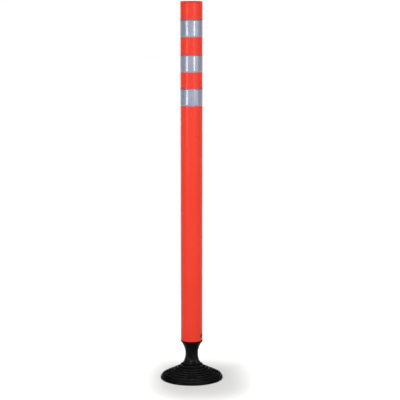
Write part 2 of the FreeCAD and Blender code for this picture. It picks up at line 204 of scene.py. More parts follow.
def tidy_shading(piece, smooth_angle=40.0):
    """Points the faces outwards and shades them smooth up to an angle."""
    bpy.ops.object.select_all(action="DESELECT")
    piece.select_set(True)
    bpy.context.view_layer.objects.active = piece
    bpy.ops.object.mode_set(mode="EDIT")
    bpy.ops.mesh.select_all(action="SELECT")
    bpy.ops.mesh.normals_make_consistent(inside=False)
    bpy.ops.object.mode_set(mode="OBJECT")
    bpy.ops.object.shade_smooth()
    piece.data.set_sharp_from_angle(angle=math.radians(smooth_angle))


def rounded(corners, steps=4):
    """A closed outline whose corners, given as (radius, height, fillet), are rounded."""
    points = []
    count = len(corners)
    for index, (radius, height, fillet) in enumerate(corners):
        here = Vector((radius, height))
        if fillet == 0:
            points.append(tuple(here))
            continue
        before = Vector(corners[index - 1][:2]) - here
        after = Vector(corners[(index + 1) % count][:2]) - here
        reach = min(fillet, 0.45 * before.length, 0.45 * after.length)
        start = here + before.normalized() * reach
        end = here + after.normalized() * reach
        for step in range(steps + 1):
            share = step / steps
            first = start.lerp(here, share)
            second = here.lerp(end, share)
            points.append(tuple(first.lerp(second, share)))
    return points


def subdivided(outline, longest):
    """The closed outline with extra points on its long edges."""
    points = []
    for index, point in enumerate(outline):
        here, there = Vector(point), Vector(outline[(index + 1) % len(outline)])
        pieces = max(1, math.ceil((there - here).length / longest))
        points += [tuple(here.lerp(there, step / pieces)) for step in range(pieces)]
    return points


def lathe(name, outline, segments=128, smooth_angle=40.0):
    """Turns a closed outline of (radius, height) about Z. Points on the axis become poles."""
    points, rings = [], []
    for radius, height in outline:
        if radius < 1e-7:
            rings.append([len(points)] * segments)
            points.append((0.0, 0.0, height))
            continue
        rings.append(list(range(len(points), len(points) + segments)))
        for step in range(segments):
            angle = TURN * step / segments
            points.append((radius * math.cos(angle), radius * math.sin(angle), height))
    faces = []
    for index, ring in enumerate(rings):
        above = rings[(index + 1) % len(rings)]
        for step in range(segments):
            after = (step + 1) % segments
            corners = [ring[step], ring[after], above[after], above[step]]
            face = list(dict.fromkeys(corners))
            if len(face) > 2:
                faces.append(face)
    return mesh_object(name, points, faces, smooth_angle)


def joined_sections(name, sections, smooth_angle=50.0):
    """Joins closed sections of equal size one to the next, and closes both ends."""
    size = len(sections[0])
    points = [point for section in sections for point in section]
    faces = []
    for index in range(len(sections) - 1):
        base, above = index * size, (index + 1) * size
        for step in range(size):
            after = (step + 1) % size
            faces.append([base + step, base + after, above + after, above + step])
    faces.append(list(range(size)))
    faces.append(list(range((len(sections) - 1) * size, len(sections) * size)))
    return mesh_object(name, points, faces, smooth_angle)


def cut(piece, cutter):
    """Cuts one closed mesh out of another for good."""
    modifier = piece.modifiers.new("cut", "BOOLEAN")
    modifier.operation = "DIFFERENCE"
    modifier.solver = "EXACT"
    modifier.object = cutter
    bpy.context.view_layer.update()
    evaluated = piece.evaluated_get(bpy.context.evaluated_depsgraph_get())
    result = bpy.data.meshes.new_from_object(evaluated)
    piece.modifiers.remove(modifier)
    piece.data = result
    bpy.data.objects.remove(cutter)


def spread(count):
    """Angles evenly spaced round a circle."""
    return [TURN * index / count for index in range(count)]


# ------------------------------------------------------------ material helpers


class Surface:
    """A procedural material under construction."""

    def __init__(self, name, **sockets):
        self.material = bpy.data.materials.new(name)
        self.material.use_nodes = True
        self.tree = self.material.node_tree
        self.shader = self.tree.nodes["Principled BSDF"]
        self.place = self.node("TexCoord").outputs["Object"]
        for socket, value in sockets.items():
            self.shader.inputs[socket.replace("_", " ")].default_value = value

    def node(self, kind, inputs=None, **settings):
        """A node whose inputs are set to a value or linked to another node's output."""
        made = self.tree.nodes.new("ShaderNode" + kind)
        for setting, value in settings.items():
            setattr(made, setting, value)
        for socket, value in (inputs or {}).items():
            if isinstance(value, bpy.types.NodeSocket):
                self.tree.links.new(value, made.inputs[socket])
            else:
                made.inputs[socket].default_value = value
        return made

    def into(self, socket, output):
        """Links an output to the shader."""
        self.tree.links.new(output, self.shader.inputs[socket])

    def stretched(self, scale):
        """The place on the surface, scaled along each axis."""
        return self.node("Mapping", {"Vector": self.place, "Scale": scale}).outputs[0]

    def noise(self, scale, detail=3.0, stretch=(1.0, 1.0, 1.0)):
        """Soft noise from 0 to 1, with 'scale' lumps a metre."""
        inputs = {"Vector": self.stretched(stretch), "Scale": scale, "Detail": detail}
        return self.node("TexNoise", inputs).outputs["Fac"]

    def cells(self, scale, feature="F1", stretch=(1.0, 1.0, 1.0)):
        """Distances in a field of random cells."""
        inputs = {"Vector": self.stretched(stretch), "Scale": scale}
        return self.node("TexVoronoi", inputs, feature=feature).outputs["Distance"]

    def math(self, operation, first, second=0.0):
        """One operation on two values or outputs."""
        return self.node("Math", {0: first, 1: second}, operation=operation).outputs[0]

    def levels(self, value, low, high, to_low=0.0, to_high=1.0):
        """Maps a range to another, smoothly and clamped."""
        inputs = {
            "Value": value,
            "From Min": low,
            "From Max": high,
            "To Min": to_low,
            "To Max": to_high,
        }
        made = self.node("MapRange", inputs, interpolation_type="SMOOTHSTEP")
        return made.outputs["Result"]

    def colours(self, value, *stops):
        """A colour from a value, by (position, red, green, blue) stops."""
        ramp = self.node("ValToRGB", {"Fac": value})
        elements = ramp.color_ramp.elements
        while len(elements) < len(stops):
            elements.new(0.5)
        for element, (position, *colour) in zip(elements, stops):
            element.position = position
            element.color = (*colour, 1.0)
        return ramp.outputs["Color"]

    def blend(self, share, first, second):
        """Mixes two colours."""
        made = self.node("Mix", data_type="RGBA")
        for socket, value in ((0, share), (6, first), (7, second)):
            if isinstance(value, bpy.types.NodeSocket):
                self.tree.links.new(value, made.inputs[socket])
            else:
                made.inputs[socket].default_value = value
        return made.outputs[2]

    def bump(self, height, strength, distance, under=None):
        """A bump, laid over another if one is given."""
        inputs = {"Height": height, "Strength": strength, "Distance": distance}
        if under is not None:
            inputs["Normal"] = under
        return self.node("Bump", inputs).outputs["Normal"]

    def axes(self):
        """The place on the surface as X, Y and Z."""
        return self.node("SeparateXYZ", {"Vector": self.place}).outputs

    def from_axis(self):
        """Distance from the post's axis."""
        x, y, _ = self.axes()
        return self.math("SQRT", self.math("ADD", self.math("MULTIPLY", x, x),
                                           self.math("MULTIPLY", y, y)))


# ------------------------------------------------------------------- materials


def orange_plastic(name="orange_polyethylene", red=0.605):
    """Extruded red-orange polyethylene: faint draw lines, patchy gloss and light scuffs."""
    surface = Surface(name, IOR=1.22, Specular_IOR_Level=0.5)
    cloud = surface.noise(5.0, 4.0)
    draw_lines = surface.noise(420.0, 2.0, (1.0, 1.0, 0.012))
    shade = surface.math("ADD", surface.math("MULTIPLY", cloud, 0.6),
                         surface.math("MULTIPLY", draw_lines, 0.4))
    base = surface.colours(
        shade,
        (0.25, red * 0.95, 0.027, 0.012),
        (0.5, red, 0.031, 0.014),
        (0.75, red * 1.04, 0.036, 0.017),
    )
    scratches = surface.cells(60.0, "DISTANCE_TO_EDGE", (1.0, 1.0, 0.18))
    scuffs = surface.math("MULTIPLY", surface.levels(scratches, 0.0, 0.012, 1.0, 0.0),
                          surface.levels(surface.noise(9.0, 3.0), 0.58, 0.72))
    worn = surface.blend(surface.math("MULTIPLY", scuffs, 0.22), base,
                         (red, 0.13, 0.09, 1.0))
    surface.into("Base Color", worn)
    gloss = surface.levels(surface.noise(14.0, 4.0), 0.3, 0.7, 0.27, 0.35)
    surface.into("Roughness", surface.math("ADD", gloss,
                                           surface.math("MULTIPLY", scuffs, 0.12)))
    lines = surface.bump(draw_lines, 0.12, 0.0004)
    peel = surface.bump(surface.noise(900.0, 2.0), 0.05, 0.0002, lines)
    surface.into("Normal", peel)
    return surface.material


def silver_sheeting():
    """Retroreflective sheeting: silver-grey honeycomb cells under a clear gloss film."""
    surface = Surface(
        "silver_sheeting",
        IOR=1.5,
        Metallic=0.55,
        Coat_Weight=1.0,
        Coat_Roughness=0.07,
        Coat_IOR=1.45,
    )
    x, y, z = surface.axes()
    around = surface.math("MULTIPLY", surface.math("ARCTAN2", y, x), TUBE_RADIUS)
    walls = honeycomb(surface, around, z, CELL_PITCH)
    cloud = surface.noise(22.0, 4.0)
    face = surface.colours(
        cloud,
        (0.3, 0.152, 0.163, 0.222),
        (0.7, 0.180, 0.193, 0.260),
    )
    sparkle = surface.levels(surface.noise(2600.0, 1.0), 0.45, 0.8)
    glinting = surface.blend(surface.math("MULTIPLY", sparkle, 0.12), face,
                             (0.42, 0.44, 0.52, 1.0))
    seamed = surface.blend(surface.math("MULTIPLY", walls, 0.20), glinting,
                           (0.36, 0.38, 0.46, 1.0))
    surface.into("Base Color", seamed)
    surface.into("Roughness", surface.levels(surface.noise(60.0, 3.0), 0.3, 0.7, 0.42, 0.52))
    cell_bump = surface.bump(walls, 0.03, 0.0002)
    ripple = surface.bump(surface.noise(35.0, 2.0, (1.0, 1.0, 0.6)), 0.02, 0.002, cell_bump)
    surface.into("Normal", ripple)
    return surface.material


def honeycomb(surface, across, up, pitch):
    """1 on the walls of a net of hexagons that lies on a flat (across, up) surface."""
    row = pitch * math.sqrt(3)

    def nearest(shift):
        """How far the place is from the nearest cell centre of one of the two grids."""
        u = surface.math("ADD", across, CELL_GRID_START + shift * pitch / 2)
        v = surface.math("ADD", up, CELL_GRID_START + shift * row / 2)
        u = surface.math("ABSOLUTE", surface.math("SUBTRACT",
                         surface.math("FLOORED_MODULO", u, pitch), pitch / 2))
        v = surface.math("ABSOLUTE", surface.math("SUBTRACT",
                         surface.math("FLOORED_MODULO", v, row), row / 2))
        slanted = surface.math("ADD", surface.math("MULTIPLY", u, 0.5),
                               surface.math("MULTIPLY", v, math.sqrt(3) / 2))
        return surface.math("MAXIMUM", u, slanted)

    distance = surface.math("MINIMUM", nearest(0.0), nearest(1.0))
    return surface.levels(distance, 0.43 * pitch, 0.49 * pitch)


def ring_share(surface):
    """Runs from 0 to 1 across each ring of the base, with the ring's crest near 0.9."""
    start = RINGS_OUTER_RADIUS - 2 * RING_COUNT * RING_PITCH
    offset = surface.math("SUBTRACT", surface.from_axis(), start)
    return surface.math("FRACT", surface.math("DIVIDE", offset, RING_PITCH))


def in_pockets(surface):
    """1 inside the four anchor pockets, which lie on the X and Y axes."""
    x, y, _ = surface.axes()
    x, y = surface.math("ABSOLUTE", x), surface.math("ABSOLUTE", y)
    out = surface.math("SUBTRACT", surface.math("MAXIMUM", x, y), ANCHOR_CIRCLE)
    side = surface.math("MINIMUM", x, y)
    reach = surface.math("SQRT", surface.math("ADD", surface.math("MULTIPLY", out, out),
                                              surface.math("MULTIPLY", side, side)))
    return surface.levels(reach, POCKET_RADIUS - 0.2 * MM, POCKET_RADIUS + 0.4 * MM, 1.0, 0.0)


def base_rubber():
    """Moulded black rubber: grain, flow marks, dusty feet and pockets, and crests painted lighter,
    partly as rubbed wear and partly as a painted highlight.
    """
    surface = Surface("black_rubber", IOR=1.2, Specular_IOR_Level=0.2)
    share = ring_share(surface)
    dust = surface.math("MULTIPLY", surface.levels(share, 0.05, 0.4, 1.0, 0.0),
                        surface.levels(surface.noise(30.0, 5.0), 0.42, 0.66))
    # Ring crests painted lighter: partly rubbed wear, partly a painted highlight along each crest.
    crest_wear_and_highlight = surface.math("MULTIPLY", surface.levels(share, 0.84, 0.93),
                          surface.levels(surface.noise(55.0, 4.0), 0.3, 0.60, 0.35, 1.0))
    black = surface.colours(
        surface.noise(70.0, 5.0),
        (0.3, 0.0012, 0.0012, 0.0014),
        (0.7, 0.0024, 0.0024, 0.0027),
    )
    dusty = surface.blend(surface.math("MULTIPLY", dust, 0.12), black,
                          (0.030, 0.029, 0.027, 1.0))
    # Lighter crest colour: rubbed wear and painted highlight.
    worn = surface.blend(surface.math("MULTIPLY", crest_wear_and_highlight, 0.50), dusty,
                         (0.026, 0.026, 0.028, 1.0))
    surface.into("Base Color", surface.blend(in_pockets(surface), worn,
                                             (0.011, 0.011, 0.011, 1.0)))
    surface.into("Roughness", surface.levels(surface.noise(40.0, 5.0), 0.3, 0.7, 0.22, 0.34))
    grain = surface.bump(surface.noise(1500.0, 2.0), 0.16, 0.0003)
    flow = surface.bump(surface.noise(110.0, 3.0), 0.10, 0.0010, grain)
    surface.into("Normal", flow)
    return surface.material


def boot_rubber():
    """Smoother black rubber with faint mould polish, dust and a painted highlight belt above the
    collar.
    """
    surface = Surface("boot_rubber", IOR=1.17, Specular_IOR_Level=0.2)
    black = surface.colours(
        surface.noise(90.0, 4.0),
        (0.3, 0.0022, 0.0022, 0.0025),
        (0.7, 0.0045, 0.0045, 0.0049),
    )
    dust = surface.levels(surface.noise(240.0, 4.0), 0.55, 0.78)
    dusted = surface.blend(surface.math("MULTIPLY", dust, 0.16), black,
                           (0.030, 0.029, 0.028, 1.0))
    _, _, height = surface.axes()
    # Painted highlight: a belt over the bulge and lower beads, lighter in mottled patches.
    highlight_belt = surface.math("MULTIPLY", surface.levels(height, *HIGHLIGHT_BELT_STARTS),
                        surface.levels(height, *HIGHLIGHT_BELT_ENDS, 1.0, 0.0))
    highlight_mottle = surface.levels(surface.noise(130.0, 3.0, (1.0, 1.0, 0.6)), 0.40, 0.66)
    surface.into("Base Color", surface.blend(surface.math("MULTIPLY", highlight_belt, highlight_mottle), dusted,
                                             (0.030, 0.030, 0.032, 1.0)))
    surface.into("Roughness", surface.levels(surface.noise(80.0, 4.0), 0.3, 0.7, 0.26, 0.40))
    lines = surface.bump(surface.noise(500.0, 2.0, (0.15, 0.15, 1.0)), 0.10, 0.0003)
    surface.into("Normal", surface.bump(surface.noise(1800.0, 2.0), 0.10, 0.0002, lines))
    return surface.material


def pad_rubber():
    """Dull rubber of the underside, with a coarser grain."""
    surface = Surface("pad_rubber", Specular_IOR_Level=0.2)
    surface.into("Base Color", surface.colours(
        surface.noise(120.0, 5.0),
        (0.3, 0.010, 0.010, 0.010),
        (0.7, 0.024, 0.023, 0.022),
    ))
    surface.into("Roughness", surface.levels(surface.noise(60.0), 0.3, 0.7, 0.7, 0.86))
    surface.into("Normal", surface.bump(surface.noise(700.0, 3.0), 0.4, 0.0006))
    return surface.material


def black_nylon(name, tone):
    """Glass-filled nylon: a fine even texture with slight mottling."""
    surface = Surface(name, IOR=1.3, Specular_IOR_Level=0.2)
    surface.into("Base Color", surface.colours(
        surface.noise(160.0, 4.0),
        (0.3, tone * 0.8, tone * 0.8, tone * 0.84),
        (0.7, tone * 1.3, tone * 1.3, tone * 1.35),
    ))
    surface.into("Roughness", surface.levels(surface.noise(220.0, 3.0), 0.3, 0.7, 0.34, 0.48))
    surface.into("Normal", surface.bump(surface.noise(2600.0, 2.0), 0.14, 0.0002))
    return surface.material


def coated_steel(name, tone, roughness, metallic=0.6):
    """Dark coated or blackened steel with faint handling marks."""
    surface = Surface(name, Metallic=metallic, Specular_IOR_Level=0.3)
    marks = surface.levels(surface.noise(180.0, 5.0), 0.5, 0.75)
    red, green, blue = tone
    surface.into("Base Color", surface.blend(
        surface.math("MULTIPLY", marks, 0.35),
        (red, green, blue, 1.0),
        (red * 2.2, green * 2.2, blue * 2.2, 1.0),
    ))
    surface.into("Roughness", surface.levels(surface.noise(300.0), 0.3, 0.7,
                                             roughness - 0.06, roughness + 0.08))
    surface.into("Normal", surface.bump(surface.noise(1200.0, 3.0), 0.10, 0.0002))
    return surface.material


def zinc_steel():
    """Zinc-plated turned steel: fine turning marks and a mottled passivation."""
    surface = Surface("zinc_steel", Metallic=1.0)
    mottled = surface.colours(
        surface.noise(130.0, 4.0),
        (0.3, 0.46, 0.47, 0.50),
        (0.55, 0.56, 0.57, 0.58),
        (0.75, 0.62, 0.60, 0.55),
    )
    surface.into("Base Color", mottled)
    turning = surface.noise(2200.0, 2.0, (0.05, 0.05, 1.0))
    surface.into("Roughness", surface.levels(surface.noise(90.0), 0.3, 0.7, 0.26, 0.40))
    surface.into("Normal", surface.bump(turning, 0.15, 0.0002))
    return surface.material


def floor_white():
    """Pale matt studio floor, faintly mottled, with a soft grey shadow painted round the post's foot.
    """
    surface = Surface("studio_floor", Roughness=0.9, Specular_IOR_Level=0.0)
    pale = surface.colours(
        surface.noise(1.5, 3.0),
        (0.3, 0.905, 0.905, 0.905),
        (0.7, 0.925, 0.925, 0.925),
    )
    x, y, _ = surface.axes()
    across = surface.math("DIVIDE", surface.math("SUBTRACT", x, SHADE_SHIFT), SHADE_HALF_WIDTH)
    along = surface.math("DIVIDE", surface.math("SUBTRACT", y, SHADE_SET_BACK), SHADE_HALF_DEPTH)
    across = surface.math("POWER", surface.math("ABSOLUTE", across), SHADE_SQUARENESS)
    along = surface.math("POWER", surface.math("ABSOLUTE", along), SHADE_SQUARENESS)
    reach = surface.math("POWER", surface.math("ADD", across, along), 1 / SHADE_SQUARENESS)
    # Painted shadow: the floor colour darkens in a soft rounded-square patch round the post's foot,
    # with a faint green tint.
    shade = surface.levels(reach, 0.35, 1.0, SHADE_DEPTH, 0.0)
    surface.into("Base Color", surface.blend(shade, pale, (0.0, 0.016, 0.006, 1.0)))
    surface.into("Normal", surface.bump(surface.noise(300.0), 0.02, 0.0005))
    return surface.material


def build_materials():
    """Every material by the record's slot name."""
    return {
        "black_rubber": base_rubber(),
        "boot_rubber": boot_rubber(),
        "pad_rubber": pad_rubber(),
        "black_nylon": black_nylon("black_nylon", 0.003),
        "plug_nylon": black_nylon("plug_nylon", 0.012),
        "plate_steel": coated_steel("plate_steel", (0.020, 0.020, 0.022), 0.42),
        "sleeve_steel": coated_steel("sleeve_steel", (0.040, 0.040, 0.042), 0.46),
        "screw_steel": coated_steel("screw_steel", (0.030, 0.030, 0.034), 0.34),
        "spring_steel": coated_steel("spring_steel", (0.045, 0.045, 0.050), 0.30),
        "pin_steel": coated_steel("pin_steel", (0.060, 0.016, 0.011), 0.42, 0.0),
        "zinc_steel": zinc_steel(),
        "wire_rope": coated_steel("wire_rope", (0.30, 0.30, 0.31), 0.40),
        "orange_polyethylene": orange_plastic(),
        "cap_polyethylene": orange_plastic("cap_polyethylene", 0.57),
        "silver_sheeting": silver_sheeting(),
    }


# ---------------------------------------------------------------------- pieces


def finish_piece(piece, slot, nodes):
    """Gives a piece its material and hides the frame's nodes that it stands in for."""
    piece.data.materials.clear()
    piece.data.materials.append(MATERIALS[slot])
    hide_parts(*nodes)


def cone_z(radius):
    """Mean height of the base's cone."""
    return CONE_TOP_Z - CONE_SLOPE * (radius - HUB_RADIUS)


def base_outline():
    """Outline of the base with rounded crests and feet on its rings."""
    corners = [
        (RECESS_RADIUS, 0.0, 0.4 * MM),
        (BASE_RADIUS - EDGE_INSET, 0.0, 0.3 * MM),
        (BASE_RADIUS, EDGE_HEIGHT, 2.0 * MM),
        (*SHOULDER, 3.0 * MM),
        (*FIRST_FOOT, FOOT_FILLET),
        (*FIRST_CREST, CREST_FILLET),
    ]
    for index in range(RING_COUNT):
        outer = RINGS_OUTER_RADIUS - index * RING_PITCH
        corners.append((outer, cone_z(outer), FOOT_FILLET))
        corners.append((outer - RISER_RUN, cone_z(outer) + RISER_DROP, CREST_FILLET))
    tread_slope = (CONE_SLOPE * RING_PITCH - RISER_DROP) / (RING_PITCH - RISER_RUN)
    crest_radius, crest_z, _ = corners[-1]
    groove_top = crest_z + tread_slope * (crest_radius - HUB_GROOVE_RADIUS)
    groove_floor = cone_z(HUB_GROOVE_RADIUS) - HUB_GROOVE_DEPTH
    corners += [
        (HUB_GROOVE_RADIUS, groove_top, 0.8 * MM),
        (HUB_GROOVE_RADIUS, groove_floor, 0.6 * MM),
        (HUB_RADIUS, groove_floor, 0.0),
        (HUB_RADIUS, HUB_SEAT_Z, 0.0),
        (BASE_BORE_RADIUS, HUB_SEAT_Z, 0.0),
        (BASE_BORE_RADIUS, RECESS_TOP, 0.0),
        (RECESS_RADIUS, RECESS_TOP, 0.0),
    ]
    return subdivided(rounded(corners, steps=5), 3.0 * MM)


def base_moulding():
    """The ringed base with its four anchor pockets."""
    piece = lathe("base_shell", base_outline(), segments=240)
    for angle in spread(ANCHOR_COUNT):
        x, y = ANCHOR_CIRCLE * math.cos(angle), ANCHOR_CIRCLE * math.sin(angle)
        for radius, floor in ((POCKET_RADIUS, POCKET_FLOOR), (SLEEVE_HOLE_RADIUS, 0.0)):
            outline = [(0.0, floor), (radius, floor), (radius, CONE_TOP_Z), (0.0, CONE_TOP_Z)]
            cutter = lathe("pocket_cutter", outline, segments=72)
            cutter.location = (x, y, 0.0)
            cut(piece, cutter)
    tidy_shading(piece, 45.0)
    finish_piece(piece, "black_rubber", ["base_moulding"])
    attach(piece, "base")


def hub_collar():
    """The ring round the boot's foot."""
    corners = [
        (COLLAR_BORE, COLLAR_BOTTOM, 0.3 * MM),
        (COLLAR_RADIUS, COLLAR_BOTTOM, 0.3 * MM),
        (COLLAR_RADIUS, COLLAR_TOP, 3.0 * MM),
        (COLLAR_BORE, COLLAR_TOP, 3.0 * MM),
    ]
    piece = lathe("collar_ring", subdivided(rounded(corners, steps=8), 2.0 * MM), 160)
    finish_piece(piece, "black_nylon", ["hub_collar"])
    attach(piece, "base")


def waist_arc():
    """Centre and radius of the arc through the boot's bulge, waist and flare."""
    (ax, ay), (bx, by), (cx, cy) = (
        (BULGE_RADIUS, BULGE_Z),
        (WAIST_RADIUS, NECK_Z),
        (FLARE_RADIUS, FLARE_Z),
    )
    d = 2 * (ax * (by - cy) + bx * (cy - ay) + cx * (ay - by))
    a2, b2, c2 = ax * ax + ay * ay, bx * bx + by * by, cx * cx + cy * cy
    ux = (a2 * (by - cy) + b2 * (cy - ay) + c2 * (ay - by)) / d
    uy = (a2 * (cx - bx) + b2 * (ax - cx) + c2 * (bx - ax)) / d
    return ux, uy, math.hypot(ax - ux, ay - uy)


def boot_radius(height):
    """Outer radius of the boot's neck, with its beads."""
    centre_r, centre_z, size = waist_arc()
    radius = centre_r - math.sqrt(size * size - (height - centre_z) ** 2)
    for bead_z, bead_rise in BEADS:
        offset = abs(height - bead_z * MM) / BEAD_HALF_WIDTH
        if offset < 1:
            radius += bead_rise * MM * 0.5 * (1 + math.cos(math.pi * offset))
    return radius


def steps_between(low, high, step):
    """Evenly spaced heights from low to high."""
    count = max(1, round((high - low) / step))
    return [low + (high - low) * index / count for index in range(count + 1)]


def boot_lower():
    """The boot from its foot, under the collar, up to the waist."""
    outline = rounded([
        (FOOT_BORE, BOOT_BOTTOM, 0.3 * MM),
        (BOOT_FLANGE_RADIUS, BOOT_BOTTOM, 0.3 * MM),
        (BOOT_FLANGE_RADIUS, FOOT_TOP, 0.3 * MM),
        (FOOT_RADIUS, FOOT_TOP, 0.0),
    ])
    outline += [(FOOT_RADIUS, height) for height in steps_between(FOOT_TOP, COLLAR_TOP, BORE_STEP)[1:]]
    outline += [(boot_radius(height), height) for height in steps_between(BULGE_Z, NECK_Z, BOOT_STEP)]
    outline += [(BOOT_BORE, height) for height in steps_between(NECK_Z, BOOT_BORE_LOW, -BORE_STEP)]
    outline += [(FOOT_BORE, FOOT_BORE_TOP)]
    piece = lathe("boot_lower_half", outline, segments=144, smooth_angle=50.0)
    finish_piece(piece, "boot_rubber", ["neck_boot"])
    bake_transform(piece)


def boot_upper():
    """The boot from the waist up to its flare and the spigot inside the tube."""
    outline = [(BOOT_BORE, height) for height in steps_between(BOOT_BORE_HIGH, NECK_Z, -BORE_STEP)]
    outline += [(boot_radius(height), height) for height in steps_between(NECK_Z, FLARE_Z, BOOT_STEP)]
    outline += rounded([
        (FLARE_RADIUS, FLARE_Z, 0.0),
        (RIM_RADIUS, FLARE_Z, 1.4 * MM),
        (RIM_RADIUS, RIM_TOP, 0.4 * MM),
        (SPIGOT_RADIUS, RIM_TOP, 0.0),
        (SPIGOT_RADIUS, BOOT_TOP, 0.3 * MM),
        (END_BORE, BOOT_TOP, 0.3 * MM),
        (END_BORE, FLARE_Z, 0.0),
    ])[1:]
    piece = lathe("boot_upper_half", outline, segments=144, smooth_angle=50.0)
    finish_piece(piece, "boot_rubber", ["neck_boot"])
    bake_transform(piece)


def spring_half(name, low, high):
    """One half of the coil spring, as a round wire along a helix."""
    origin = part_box("coil_spring")[0].z + SPRING_WIRE
    sections = []
    turns = (high - low) / SPRING_PITCH
    count = round(turns * 48)
    for index in range(count + 1):
        height = low + (high - low) * index / count
        angle = TURN * (height - origin) / SPRING_PITCH
        outward = Vector((math.cos(angle), math.sin(angle), 0.0))
        centre = outward * SPRING_RADIUS + Vector((0.0, 0.0, height))
        section = []
        for side in spread(14):
            lift = Vector((0.0, 0.0, math.sin(side) * SPRING_WIRE))
            section.append(centre + outward * math.cos(side) * SPRING_WIRE + lift)
        sections.append(section)
    piece = joined_sections(name, sections)
    finish_piece(piece, "spring_steel", ["coil_spring"])
    return piece


def cable_half(name, low, high):
    """One half of the restraint cable: strands laid round a core."""
    sections = []
    for height in steps_between(low, high, 1.0 * MM):
        twist = TURN * height / CABLE_LAY
        section = []
        for side in spread(12 * CABLE_OUTER_STRANDS):
            lobe = abs(math.cos((side - twist) * CABLE_OUTER_STRANDS / 2))
            radius = CABLE_RADIUS * (0.78 + 0.22 * math.sqrt(lobe))
            section.append(Vector((radius * math.cos(side), radius * math.sin(side), height)))
        sections.append(section)
    piece = joined_sections(name, sections, smooth_angle=70.0)
    finish_piece(piece, "wire_rope", ["restraint_cable"])
    return piece


def neck_inside():
    """Spring and cable, each in two halves split at the height of the neck's joint."""
    spring_low, spring_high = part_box("coil_spring")
    cable_low, cable_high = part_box("restraint_cable")
    lower = [
        spring_half("spring_lower_half", spring_low.z + SPRING_WIRE, NECK_Z),
        cable_half("cable_lower_half", cable_low.z, NECK_Z),
    ]
    upper = [
        spring_half("spring_upper_half", NECK_Z, spring_high.z - SPRING_WIRE),
        cable_half("cable_upper_half", NECK_Z, cable_high.z),
    ]
    for piece in lower:
        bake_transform(piece)
    for piece in upper:
        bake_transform(piece)


def post_tube():
    """The orange tube, with softened ends and a slight lip round its lower edge."""
    inner = TUBE_RADIUS - TUBE_WALL
    corners = [
        (inner, TUBE_BOTTOM, 0.5 * MM),
        (TUBE_LIP_RADIUS, TUBE_BOTTOM, 1.2 * MM),
        (TUBE_RADIUS, TUBE_BOTTOM + TUBE_LIP_HEIGHT, 1.2 * MM),
        (TUBE_RADIUS, TUBE_TOP, 0.3 * MM),
        (inner, TUBE_TOP, 0.3 * MM),
    ]
    piece = lathe("tube_body", subdivided(rounded(corners, steps=6), 20 * MM), segments=180)
    finish_piece(piece, "orange_polyethylene", ["post_tube"])
    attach(piece, "post")


def top_cap():
    """The cap: a rounded flange with a shallow dish, over a skirt inside the tube."""
    skirt_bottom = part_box("top_cap")[0].z
    corners = [
        (0.0, TUBE_TOP, 0.0),
        (CAP_SKIRT_RADIUS - CAP_SKIRT_WALL, TUBE_TOP, 1.0 * MM),
        (CAP_SKIRT_RADIUS - CAP_SKIRT_WALL, skirt_bottom, 0.4 * MM),
        (CAP_SKIRT_RADIUS, skirt_bottom, 0.8 * MM),
        (CAP_SKIRT_RADIUS, TUBE_TOP, 0.0),
        (TUBE_RADIUS, TUBE_TOP + 0.05 * MM, 0.5 * MM),
        (TUBE_RADIUS, POST_TOP, 1.6 * MM),
        (CAP_DISH_RADIUS + 2 * MM, POST_TOP, 1.2 * MM),
        (CAP_DISH_RADIUS, POST_TOP - CAP_DISH_DEPTH, 1.2 * MM),
        (0.0, POST_TOP - CAP_DISH_DEPTH, 0.0),
    ]
    piece = lathe("cap_moulding", rounded(corners, steps=6), segments=180)
    finish_piece(piece, "cap_polyethylene", ["top_cap"])
    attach(piece, "post")


def band_offset(arc):
    """How far the sheeting is lifted off the tube after a length of wrap."""
    girth = TURN * TUBE_RADIUS
    share = (arc - (girth - BAND_LIFT_LENGTH)) / BAND_LIFT_LENGTH
    share = min(1.0, max(0.0, share))
    return (BAND_THICKNESS + 2 * BAND_BOND) * share * share * (3 - 2 * share)


def reflective_band(index):
    """One strip of sheeting wrapped once round the tube, with its end lapped at the back."""
    node = "reflective_band_%d" % index
    low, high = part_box(node)
    length = TURN * TUBE_RADIUS + BAND_OVERLAP
    heights = steps_between(low.z + BAND_EDGE, high.z - BAND_EDGE, 5 * MM)
    sections = []
    for arc in steps_between(0.0, length, 1.2 * MM):
        angle = math.pi / 2 - BAND_OVERLAP / 2 / TUBE_RADIUS + arc / TUBE_RADIUS
        inner = TUBE_RADIUS + BAND_BOND + band_offset(arc)
        outer = inner + BAND_THICKNESS
        outline = [(inner, low.z), (outer - BAND_EDGE, low.z)]
        outline += [(outer, height) for height in heights]
        outline += [(outer - BAND_EDGE, high.z), (inner, high.z)]
        sections.append([
            (radius * math.cos(angle), radius * math.sin(angle), height)
            for radius, height in outline
        ])
    piece = joined_sections("band_wrap_%d" % index, sections)
    finish_piece(piece, "silver_sheeting", [node])
    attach(piece, "post")


def pin_axes():
    """Unit vectors out along the pin's head, round the tube and up."""
    out = Vector((math.sin(PIN_AZIMUTH), -math.cos(PIN_AZIMUTH), 0.0))
    return out, Vector((-out.y, out.x, 0.0)), Vector((0.0, 0.0, 1.0))


